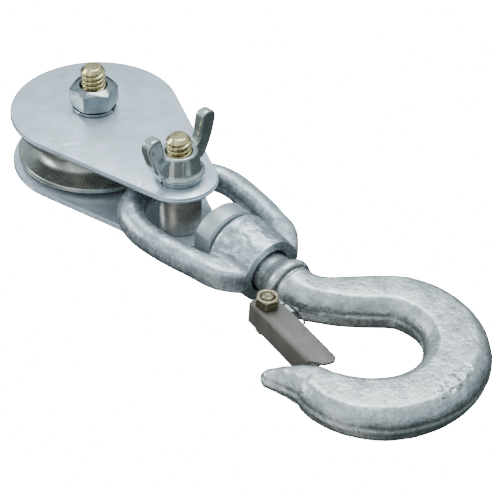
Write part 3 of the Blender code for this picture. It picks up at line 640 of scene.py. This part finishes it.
def make_nut_and_washers(materials):
    low, high = span("sheave_lock_nut")
    blank = hex_nut(HEX_ACROSS, 6.3, low.z, high.z, SHEAVE_NUT_TURN, 0.5, 0.6, 0.76)
    nut = as_object("sheave_lock_nut_detailed", blank, WORLD)
    soften_edges(nut, 0.2, 18)
    finish(nut, "sheave_lock_nut", materials["fastener"])
    for name, place, split_at in (
        ("sheave_lock_washer", WORLD, SHEAVE_WASHER_SPLIT),
        ("shackle_lock_washer", ON_SHACKLE, SHACKLE_WASHER_SPLIT),
    ):
        low, high = span(name)
        washer = as_object(f"{name}_detailed", lock_washer(low.z, high.z, 6.8, 10.8, split_at), place)
        finish(washer, name, materials["fastener"])


# ---- cheek plates, sheave and bearing --------------------------------------------------------


def plate_outline(big, small, spacing, inset):
    """A teardrop: two end arcs and their common tangents, drawn in by inset."""
    lean = 90 - degrees(asin((big - small) / spacing))
    outline = arc((spacing, 0), small - inset, -lean, lean, 70)
    outline += arc((0, 0), big - inset, lean, 360 - lean, 130)
    return outline


def cheek_plate(low, high, hole=6.5):
    """A stamped plate: rolled over a little at its upper edge, square below, with two drilled holes."""
    big, small = -low.x, high.x - SHACKLE_X
    edge = [(0.5, 0.0), (0.12, 0.1), (0.0, 0.4), (0.0, 1.35), (0.32, 1.55), (0.14, 1.8)]
    edge += [(0.14, 2.4), (0.4, 2.82), (0.9, 3.0)]
    bm = bmesh.new()
    loops = []
    for inset, rise in edge:
        outline = plate_outline(big, small, SHACKLE_X, inset)
        loops.append([bm.verts.new((x, y, low.z + rise)) for x, y in outline])
    holes = []
    for x in (0.0, SHACKLE_X):
        drilled = []
        for widen, rise in ((0.3, 0.0), (0.0, 0.3), (0.0, 2.7), (0.3, 3.0)):
            circle = arc((x, 0), hole + widen, 0, 352.5, 47)
            drilled.append([bm.verts.new((px, py, low.z + rise)) for px, py in circle])
        holes.append(drilled)
    for rings in [loops] + holes:
        for first, second in zip(rings, rings[1:]):
            for i, vertex in enumerate(first):
                j = (i + 1) % len(first)
                bm.faces.new((vertex, first[j], second[j], second[i]))
    for level in (0, -1):
        rims = [loops[level]] + [drilled[level] for drilled in holes]
        edges = []
        for rim in rims:
            for i, vertex in enumerate(rim):
                edges.append(bm.edges.get((vertex, rim[(i + 1) % len(rim)])))
        bmesh.ops.triangle_fill(bm, use_beauty=True, edges=edges)
    return bm


def make_plates(materials):
    for name in ("lower_cheek_plate", "upper_cheek_plate"):
        plate = as_object(f"{name}_detailed", cheek_plate(*span(name)), WORLD)
        finish(plate, name, materials["plate"], 25)


def make_sheave(materials):
    """Deep round groove between two thin flanges, dished faces and a plain hub."""
    low, high = span("sheave")
    middle = (low.z + high.z) / 2
    radius = high.x
    half = (high.z - low.z) / 2
    rim = 10.2
    groove = 8.2
    side = [(11.3, -half + 0.4), (11.7, -half), (17.0, -half), (17.6, -half + 0.3), (18.4, -rim + 0.1)]
    side += [(21.0, -rim + 1.0), (32.0, -rim + 1.0), (34.5, -rim)]
    side += arc((radius - 0.7, -rim + 0.7), 0.7, -90, 0, 4)
    side += arc((radius - 0.9, -groove - 0.9 + 0.6), 0.9, 0, 90, 4)[1:]
    floor = arc((27.0 + groove * 0.8, 0), groove * 0.8, 250, 110, 26)
    upper = [(r, -z) for r, z in reversed(side)]
    profile = [(r, z + middle) for r, z in side + floor + upper]
    sheave = as_object("sheave_detailed", turned(profile, True, 128), WORLD)
    finish(sheave, "sheave", materials["sheave"], 30)


def make_rings(materials):
    """Bush, sleeve, thrust washers and spacer: plain turned rings with broken edges."""
    for name, place, bore, outer, edge, slot, material in (
        ("sheave_axle_sleeve", WORLD, 6.3, 8.0, 0.3, "turned_steel", "steel"),
        ("sheave_bush", WORLD, 8.3, 11.0, 0.4, "bearing_bronze", "bronze"),
        ("lower_thrust_washer", WORLD, 8.3, 15.0, 0.2, "bearing_bronze", "bronze"),
        ("upper_thrust_washer", WORLD, 8.3, 15.0, 0.2, "bearing_bronze", "bronze"),
        ("shackle_spacer_bush", ON_SHACKLE, 6.3, 10.2, 0.6, "dark_steel", "spacer"),
        ("swivel_thrust_washer", ALONG_PULL, 7.8, 13.5, 0.25, "bright_zinc", "fastener"),
    ):
        low, high = span(name, place)
        corners = [(bore, low.z), (outer, low.z), (outer, high.z), (bore, high.z)]
        ring = as_object(f"{name}_detailed", turned(rounded(corners, edge)), place)
        finish(ring, name, materials[material], 50)


# ---- wing nut --------------------------------------------------------------------------------


def drawn_in(outline, inset):
    """Moves a closed outline inwards; it runs anticlockwise."""
    count = len(outline)
    points = []
    for i, point in enumerate(outline):
        before = Vector(outline[i - 1])
        after = Vector(outline[(i + 1) % count])
        along = (after - before).normalized()
        points.append((point[0] - along.y * inset, point[1] + along.x * inset))
    return points


def wing_paddle(half):
    """One wing seen square on: a fan with a raised rim round a flat face, mm from the nut's axis."""
    fan = [(5.5, 1.9), (12.6, 1.9), (16.0, 5.2), (19.5, 12.2)]
    fan += arc((17.6, 21.6), 4.6, -20, 85, 14)
    fan += arc((16.2, 23.1), 3.1, 100, 178, 10)
    fan += [(12.0, 18.6), (11.2, 13.8), (9.2, 11.2), (5.5, 10.4)]
    outline = []
    for i, point in enumerate(fan):
        following = Vector(fan[(i + 1) % len(fan)])
        gap = (following - Vector(point)).length
        steps = max(1, int(gap / 0.8))
        outline += [tuple(Vector(point).lerp(following, k / steps)) for k in range(steps)]
    for _ in range(5):
        outline = [
            tuple((Vector(outline[i - 1]) + Vector(p) * 2 + Vector(outline[(i + 1) % len(outline)])) / 4)
            for i, p in enumerate(outline)
        ]
    levels = [(0.0, half - 1.0), (0.25, half - 0.45), (0.7, half - 0.12), (1.2, half), (2.4, half - 0.15)]
    levels += [(3.2, half - 0.3)]
    sides = [(inset, -rise) for inset, rise in reversed(levels)] + levels
    return skin([[(x, rise, z) for x, z in drawn_in(outline, inset)] for inset, rise in sides], False)


def make_wing_nut(materials):
    bottom = span("wing_nut")[0].z
    height = WING_NUT_HEIGHT
    place = ON_SHACKLE @ Matrix.Translation((0, 0, bottom)) @ Matrix.Rotation(WING_TURN, 4, "Z")
    body = [(6.3, 0.0), (11.9, 0.0), (12.0, 0.4), (12.0, 1.2), (11.6, 1.7), (10.7, 2.4), (10.3, 3.4)]
    body += [(9.1, height - 1.2), (8.8, height - 0.4), (8.3, height), (6.9, height), (6.3, height - 0.5)]
    nut = as_object("wing_nut_detailed", turned(body), place)
    parts = []
    for turn in (0, pi):
        side = place @ Matrix.Rotation(turn, 4, "Z")
        parts.append(as_object("wing", wing_paddle(WING_HALF_THICKNESS), side))
    melt(nut, parts, 0.28, 6)
    bore = as_object("bore", turned([(6.3, -1.0), (6.3, height + 1.0)], False, 64), place)
    cut(nut, [bore])
    finish(nut, "wing_nut", materials["wing"], 40)


# ---- yoke ------------------------------------------------------------------------------------


def yoke_half_path(flank_width):
    """Centreline of one arm from the middle of the crown to inside the hub."""
    crown = (-YOKE_CROWN, 0.0)
    shoulder = (8.0, YOKE_HALF_WIDTH)
    flank = (44.0, flank_width)
    inside = (61.0, 9.6)
    points = [crown]
    points += bezier(crown, (-YOKE_CROWN, 17.0), (-8.0, YOKE_HALF_WIDTH), shoulder, 34)
    points += bezier(shoulder, (20.0, YOKE_HALF_WIDTH), (34.5, flank_width + 2.7), flank, 24)
    points += bezier(flank, (48.5, flank_width - 1.4), (54.5, 17.8), inside, 16)
    return points


def forging_relief(flash_from, flash_height, flash_half=0.9):
    """Scale pits, slow waviness and the trimmed flash along the middle plane of a forging."""
    to_load = LOAD.inverted() @ WORLD

    def rise_at(place):
        local = to_load @ place
        wave = 0.13 * noise.noise(place / 9.0) + 0.04 * noise.noise(place / 3.2)
        pit = noise.noise(place / 1.7 + Vector((40, 0, 0)))
        rise = wave - 0.10 * smoothstep(0.25, 0.6, pit)
        if local.x > flash_from:
            wander = local.z - 0.3 * noise.noise(Vector((local.x, local.y, 0)) / 12.0)
            ragged = 0.75 + 0.5 * noise.noise(place / 5.0 + Vector((0, 70, 0)))
            rise += flash_height * ragged * exp(-((wander / flash_half) ** 4))
            rise -= 0.7 * flash_height * exp(-(((wander - 2.2) / 0.8) ** 2))
        return rise

    return rise_at


def make_yoke(materials):
    path = [(x, -y) for x, y in reversed(yoke_half_path(YOKE_NEAR_FLANK))]
    path += yoke_half_path(YOKE_FAR_FLANK)[1:]
    rings = []
    for point, direction in zip(path, directions_of(path)):
        power = 2.0 + 1.8 * smoothstep(38.0, 54.0, point[0])
        rings.append(section((*point, 0.0), direction, YOKE_BAR, YOKE_BAR, power))
    yoke = as_object("swivel_yoke_detailed", skin(rings, False), LOAD)
    barrel = [(HUB_RADIUS + 0.2, HUB_REAR), (HUB_RADIUS + 1.0, HUB_REAR + 0.8)]
    barrel += [(HUB_RADIUS + 1.2, HUB_REAR + 9.0), (HUB_RADIUS + 0.5, HUB_FRONT - 7.0)]
    barrel += [(HUB_RADIUS - 0.3, HUB_FRONT + 2.0)]
    hub = as_object("hub", turned(barrel, False), ALONG_PULL)
    melt(yoke, [hub], 0.62, 7)
    relief = forging_relief(-100.0, 0.10)
    to_load = LOAD.inverted() @ WORLD

    def rise_at(place):
        local = to_load @ place
        on_hub = smoothstep(40.0, 44.0, local.x) * (1 - smoothstep(13.0, 16.0, abs(local.y)))
        lumps = 0.35 * noise.noise(place / 4.5) + 0.15 * noise.noise(place / 2.0)
        inside = (1 - smoothstep(23.0, 26.0, abs(local.y))) * (1 - smoothstep(36.0, 42.0, local.x))
        ridge = 0.5 * exp(-((local.z / 0.8) ** 4)) - 0.3 * exp(-(((abs(local.z) - 2.0) / 0.8) ** 2))
        return relief(place) + on_hub * lumps + inside * ridge

    reshape(yoke, rise_at)
    step = HUB_FRONT - HUB_COUNTERBORE_DEPTH
    bore = [(HUB_BORE, HUB_REAR - 12), (HUB_BORE, step - 0.4), (HUB_BORE + 0.4, step)]
    bore += [(HUB_COUNTERBORE, step), (HUB_COUNTERBORE, HUB_FRONT - 0.7), (HUB_COUNTERBORE + 0.6, HUB_FRONT)]
    bore += [(HUB_RADIUS + 12, HUB_FRONT), (HUB_RADIUS + 12, HUB_FRONT + 8)]
    seat = [(HUB_RADIUS + 0.1, HUB_REAR - 14), (HUB_RADIUS + 0.1, HUB_REAR)]
    tools = [as_object("tool", turned(profile, False), ALONG_PULL) for profile in (bore, seat)]
    cut(yoke, tools)
    finish(yoke, "swivel_yoke", materials["yoke"], 40)


# ---- hook ------------------------------------------------------------------------------------


def shank_rings(first):
    """Turned part of the hook, from the shank's end to the groove in front of the forged body."""
    mouth = HUB_FRONT - HUB_COUNTERBORE_DEPTH
    profile = [(first, SHANK_RADIUS - 1.0), (first + 1.0, SHANK_RADIUS), (mouth + 0.3, SHANK_RADIUS)]
    profile += [(mouth + 0.9, NECK_RADIUS - 1.2), (HUB_FRONT - 2.5, NECK_RADIUS - 0.2)]
    profile += [(HUB_FRONT + 1.0, NECK_RADIUS), (HUB_FRONT + 4.5, NECK_RADIUS)]
    profile += [(COLLAR_AT - 4.0, NECK_RADIUS + 1.2), (COLLAR_AT - 2.4, NECK_RADIUS + 2.3)]
    profile += [(COLLAR_AT - 1.2, COLLAR_RADIUS - 0.4), (COLLAR_AT + 0.6, COLLAR_RADIUS)]
    profile += [(GROOVE_AT - 0.9, COLLAR_RADIUS - 0.5), (GROOVE_AT - 0.3, COLLAR_RADIUS - 2.0)]
    profile += [(GROOVE_AT + 0.4, COLLAR_RADIUS - 2.4)]
    return [section((at, 0, 0), Vector((1, 0)), radius, radius, 2.0, 80) for at, radius in profile]


def hook_path():
    """Centreline of the forged body: neck, round bowl, flared tip."""
    bowl = arc((0, 0), 1.0, 118, -90, 70)
    bowl = [(BOWL_CENTRE + BOWL_REACH * x, BOWL_OFFSET + BOWL_HALF_SPREAD * y) for x, y in bowl]
    start = (GROOVE_AT + 1.6, 0.0)
    points = [start]
    points += bezier(start, (96.0, -0.6), (105.4, 23.2), bowl[0], 36)
    points += bowl[1:]
    bottom = points[-1]
    points += bezier(bottom, (126.6, bottom[1] - 2.4), (120.9, -45.0), (115.8, -49.3), 28)
    return points


def hook_rings(first):
    rings = shank_rings(first)
    path = hook_path()
    travelled = 0.0
    for i, (point, direction) in enumerate(zip(path, directions_of(path))):
        if i:
            travelled += (Vector(point) - Vector(path[i - 1])).length
        width, thickness = eased(HOOK_SECTIONS, travelled)
        forged = smoothstep(0.0, 30.0, travelled) * (1 - smoothstep(168.0, 195.0, travelled))
        power = 2.0 + 0.2 * forged
        rings.append(section((*point, 0.0), direction, width, thickness, power, 80, 1.0 + 0.12 * forged))
    heading = directions_of(path)[-1]
    for step, shrink in ((1.0, 0.90), (1.8, 0.70), (2.3, 0.42)):
        centre = Vector((*path[-1], 0.0)) + Vector((*heading, 0.0)) * step
        size = HOOK_SECTIONS[-1][1] * shrink
        rings.append(section(centre, heading, size, size, 2.0, 80))
    return rings


def hook_lug():
    """Ear that carries the latch bolt."""
    x, y = LATCH_PIVOT.x, LATCH_PIVOT.y
    outline = arc((x, y), 4.1, 180, 360, 24)
    outline += [(x + 4.6, y + 4.0), (x + 6.4, -8.0), (x + 6.0, 0.0), (x - 4.0, 0.0), (x - 4.6, -8.0)]
    return prism(outline, -4.5, 1.2)


def make_hook(materials):
    first = span("hook", LOAD)[0].x
    hook = as_object("hook_detailed", skin(hook_rings(first), False), LOAD)
    lug = as_object("lug", hook_lug(), LOAD)
    melt(hook, [lug], 0.5, 5)
    relief = forging_relief(GROOVE_AT + 6.0, 0.42)
    to_load = LOAD.inverted() @ WORLD

    def rise_at(place):
        local = to_load @ place
        forged = smoothstep(GROOVE_AT - 14.0, GROOVE_AT + 4.0, local.x)
        along, across = local.x - DENTS_AT[0], local.y - DENTS_AT[1]
        off = Vector((along + across * 0.25, across * 0.3, 0)).length
        struck = (1 - smoothstep(2.5, 5.5, off)) * smoothstep(0.0, 4.0, local.z)
        dents = smoothstep(0.12, 0.30, noise.noise(place / 2.4 + Vector((0, 0, 55))))
        return relief(place) * forged - 0.55 * struck * dents

    reshape(hook, rise_at)
    hole = turned([(LATCH_BOLT + 0.2, -20), (LATCH_BOLT + 0.2, 20)], False, 40)
    at = GROOVE_AT
    groove = turned([
        (10.3, at - 0.3), (10.5, at - 0.6), (16.0, at - 1.0), (16.0, at + 0.6), (10.5, at + 0.2)
    ])
    tools = [as_object("tool", hole, LOAD @ Matrix.Translation(LATCH_PIVOT))]
    tools.append(as_object("tool", groove, ALONG_PULL))
    cut(hook, tools)
    finish(hook, "hook", materials["hook"], 40)


def make_shank_nut(materials):
    """Round nut with two wrench flats; its cross pin keeps its imported shape."""
    low, high = span("shank_nut", ALONG_PULL)
    radius = 15.9
    columns = []
    for i in range(SIDES * 2):
        a = pi * i / SIDES
        side = min(radius, SHANK_NUT_FLAT / max(abs(sin(a)), 0.01))
        face = min(radius - 0.9, side)
        drop = 0.8 * (side - face) / 0.9
        column = [(7.8, low.z + 0.6), (8.4, low.z), (face - 0.1, low.z), (side, low.z + drop + 0.1)]
        column += [(side, high.z - drop - 0.1), (face - 0.1, high.z), (8.4, high.z), (7.8, high.z - 0.6)]
        columns.append((a, column))
    nut = as_object("shank_nut_detailed", from_columns(columns, True), ALONG_PULL)
    soften_edges(nut, 0.3, 20)
    finish(nut, "shank_nut", materials["nut"], 32)


# ---- latch -----------------------------------------------------------------------------------


def latch_outline():
    web = -LATCH_WEB_AT
    end = LATCH_LENGTH
    web_end = end - 7.2
    outline = [(-6.0, web), (web_end, web), (end - 1.2, web + 5.2), (end - 0.4, web + 8.4)]
    outline += arc((end - 3.4, LATCH_FLANGE - 3.0), 3.0, 10, 90, 10)
    outline += [(12.0, LATCH_FLANGE)]
    outline += arc((0.0, 0.0), 6.3, 70, 200, 24)
    return outline


def make_latch(materials):
    """Pressed channel: two flanges and a web, with soft bends and broken edges."""
    web = -LATCH_WEB_AT
    half = LATCH_HALF_HEIGHT
    latch = as_object("latch_detailed", prism(latch_outline(), -half, half), LATCH)
    to_latch = LATCH.inverted()
    weights = latch.data.attributes.new("bevel_weight_edge", "FLOAT", "EDGE")
    for edge in latch.data.edges:
        ends = [to_latch @ latch.data.vertices[i].co for i in edge.vertices]
        on_web = all(abs(end.y - web) < 0.01 for end in ends)
        level = abs(ends[0].z - ends[1].z) < 0.01
        weights.data[edge.index].value = 1.0 if on_web and level else 0.0
    bend = latch.modifiers.new("bends", "BEVEL")
    bend.width = 2.0 * MM
    bend.segments = 8
    bend.limit_method = "WEIGHT"
    bake(latch)
    inside = half - LATCH_SHEET
    deep = web + LATCH_SHEET
    short = LATCH_LENGTH - 12.0
    channel = prism(rounded([(-20, deep), (70, deep), (70, 20), (-20, 20)], 0.01, 1), -inside, inside)
    step = prism([(short, deep), (70, deep), (70, 20), (short, 20)], -10, 0)
    hole = turned([(LATCH_BOLT + 0.3, -20), (LATCH_BOLT + 0.3, 20)], False, 48)
    tools = [as_object("tool", tool, LATCH) for tool in (channel, step, hole)]
    cut(latch, tools)
    soften_edges(latch, 0.28, 40, 2)
    finish(latch, "latch", materials["latch"], 30)


def make_latch_fixings(materials):
    low, high = span("latch_nut", LATCH)
    nut = as_object("latch_nut_detailed", hex_nut(10.0, 3.1, low.z, high.z, radians(20), 0.6, 0.4), LATCH)
    soften_edges(nut, 0.15, 18, 2)
    finish(nut, "latch_nut", materials["small"])
    low, high = span("latch_bolt", LATCH)
    head = -LATCH_HALF_HEIGHT - 0.3
    profile = [(1.6, low.z), (3.6, low.z + 0.05), (4.4, low.z + 0.35), (4.7, low.z + 0.8), (4.7, head - 0.15)]
    profile += [(4.55, head), (3.1, head), (2.9, head + 0.2), (2.9, high.z - 0.9), (2.75, high.z - 0.4)]
    profile += [(2.3, high.z - 0.08), (1.9, high.z), (1.5, high.z - 0.25), (1.2, high.z - 0.3)]
    bolt = as_object("latch_bolt_detailed", turned(profile, False, 64), LATCH)
    finish(bolt, "latch_bolt", materials["small"], 40)


def spring_points():
    """Two turns round the latch bolt, then a leg that runs along the latch."""
    wire = 0.5
    coil = LATCH_BOLT + 0.25 + wire
    bottom = 4.5 - 3 * 2 * wire - 0.3 + 0.15 + wire
    pitch = 2 * wire + 0.05
    leg = radians(105)
    points = []
    steps = 28
    for i in range(2 * steps + 1):
        a = leg - pi / 2 - 4 * pi + 2 * pi * i / steps
        points.append(LATCH_PIVOT + Vector((coil * cos(a), coil * sin(a), bottom + pitch * i / steps)))
    bends = ((2.0, 9.8, 4.0), (9.4, 10.2, 3.2), (15.2, 8.8, 2.8), (15.8, 8.4, 1.4))
    corners = [points[-1]] + [LATCH_PIVOT + Vector(bend) for bend in bends]
    for before, here, after in zip(corners, corners[1:], corners[2:]):
        start = here + (before - here).normalized() * min(1.6, (before - here).length * 0.45)
        end = here + (after - here).normalized() * min(1.6, (after - here).length * 0.45)
        for k in range(7):
            t = k / 6
            points.append(start * (1 - t) ** 2 + here * 2 * t * (1 - t) + end * t * t)
    points.append(corners[-1])
    return points


def make_spring(materials):
    curve = bpy.data.curves.new("latch_spring_detailed", "CURVE")
    curve.dimensions = "3D"
    curve.bevel_depth = 0.55 * MM
    curve.bevel_resolution = 4
    curve.use_fill_caps = True
    points = [LOAD @ point for point in spring_points()]
    spline = curve.splines.new("POLY")
    spline.points.add(len(points) - 1)
    for point, place in zip(spline.points, points):
        point.co = (*place, 1.0)
    spring = bpy.data.objects.new("latch_spring_detailed", curve)
    bpy.context.scene.collection.objects.link(spring)
    curve.materials.append(materials["spring"])
    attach(spring, BODY_OF["latch_spring"])
    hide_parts("latch_spring")


# ---- stage -----------------------------------------------------------------------------------


def make_camera():
    turn, height = VIEW_TURN, VIEW_HEIGHT
    right = Vector((cos(turn), -sin(turn), 0.0))
    up = Vector((sin(height) * sin(turn), sin(height) * cos(turn), cos(height)))
    ahead = Vector((cos(height) * sin(turn), cos(height) * cos(turn), -sin(height)))
    top = Vector((0, 0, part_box("upper_cheek_plate")[1].z))
    data = bpy.data.cameras.new("camera")
    data.lens = VIEW_LENS
    data.sensor_width = 36.0
    data.clip_end = 50.0
    camera = bpy.data.objects.new("camera", data)
    bpy.context.scene.collection.objects.link(camera)
    matrix = Matrix((right, up, -ahead)).transposed().to_4x4()
    matrix.translation = top + right * VIEW_SHIFT[0] + up * VIEW_SHIFT[1] - ahead * VIEW_DISTANCE
    camera.matrix_world = matrix
    bpy.context.scene.camera = camera


def make_floor():
    bm = bmesh.new()
    bmesh.ops.create_grid(bm, x_segments=8, y_segments=8, size=4000.0)
    floor = as_object("floor", bm, WORLD)
    material = bpy.data.materials.new("pale_floor")
    material.use_nodes = True
    shader = material.node_tree.nodes["Principled BSDF"]
    shader.inputs["Base Color"].default_value = (0.9, 0.9, 0.9, 1.0)
    shader.inputs["Roughness"].default_value = 0.9
    shader.inputs["Emission Color"].default_value = (1.0, 1.0, 1.0, 1.0)
    shader.inputs["Emission Strength"].default_value = 25.0
    floor.data.materials.append(material)
    floor.visible_glossy = False
    floor.visible_diffuse = False


def make_light(name, place, aim, size, power, colour=(1.0, 1.0, 1.0)):
    data = bpy.data.lights.new(name, "AREA")
    data.shape = "RECTANGLE"
    data.size, data.size_y = size
    data.energy = power
    data.color = colour
    light = bpy.data.objects.new(name, data)
    bpy.context.scene.collection.objects.link(light)
    light.location = place
    light.rotation_euler = (Vector(aim) - Vector(place)).to_track_quat("-Z", "Y").to_euler()


def make_lights():
    middle = (0.10, 0.0, 0.02)
    make_light("overhead", (-0.05, 0.25, 0.85), middle, (0.7, 0.5), 9.0, (0.93, 0.98, 1.0))
    make_light("left", (-0.55, -0.55, 0.45), middle, (0.35, 0.35), 3.0)
    world = bpy.data.worlds.new("studio")
    bpy.context.scene.world = world
    world.use_nodes = True
    tree = world.node_tree
    place = tree.nodes.new("ShaderNodeTexCoord")
    split = tree.nodes.new("ShaderNodeSeparateXYZ")
    tree.links.new(place.outputs["Generated"], split.inputs["Vector"])
    remap = tree.nodes.new("ShaderNodeMapRange")
    remap.inputs["From Min"].default_value = -1.0
    tree.links.new(split.outputs["Z"], remap.inputs["Value"])
    sky = add_ramp(tree, remap.outputs["Result"], [
        (0.0, (0.04, 0.05, 0.05)), (0.40, (0.06, 0.075, 0.075)), (0.50, (0.20, 0.23, 0.24)),
        (0.57, (0.50, 0.60, 0.66)), (0.75, (0.88, 1.05, 1.18)), (1.0, (1.1, 1.28, 1.42))])
    level = tree.nodes.new("ShaderNodeVectorMath")
    level.operation = "MULTIPLY"
    level.inputs[1].default_value = (1.0, 1.0, 0.0)
    tree.links.new(place.outputs["Generated"], level.inputs[0])
    heading = tree.nodes.new("ShaderNodeVectorMath")
    heading.operation = "NORMALIZE"
    tree.links.new(level.outputs["Vector"], heading.inputs[0])
    facing = tree.nodes.new("ShaderNodeVectorMath")
    facing.operation = "DOT_PRODUCT"
    facing.inputs[1].default_value = (cos(STRIP_TURN), sin(STRIP_TURN), 0.0)
    tree.links.new(heading.outputs["Vector"], facing.inputs[0])
    strip = add_ramp(tree, facing.outputs["Value"], [(0.2, 0.0), (0.90, 0.10), (0.955, 0.12), (0.985, 1.1)])
    sky = blend_colours(tree, "ADD", 1.0, sky, strip)
    background = tree.nodes["Background"]
    tree.links.new(sky, background.inputs["Color"])
    background.inputs["Strength"].default_value = 1.0


def main():
    make_camera()
    materials = make_materials()
    make_plates(materials)
    make_sheave(materials)
    make_rings(materials)
    make_bolts(materials)
    make_nut_and_washers(materials)
    make_wing_nut(materials)
    make_yoke(materials)
    make_hook(materials)
    make_shank_nut(materials)
    make_latch(materials)
    make_latch_fixings(materials)
    make_spring(materials)
    frame["nodes"]["shank_nut_pin"].data.materials[0] = materials["pin"]
    make_floor()
    make_lights()


main()
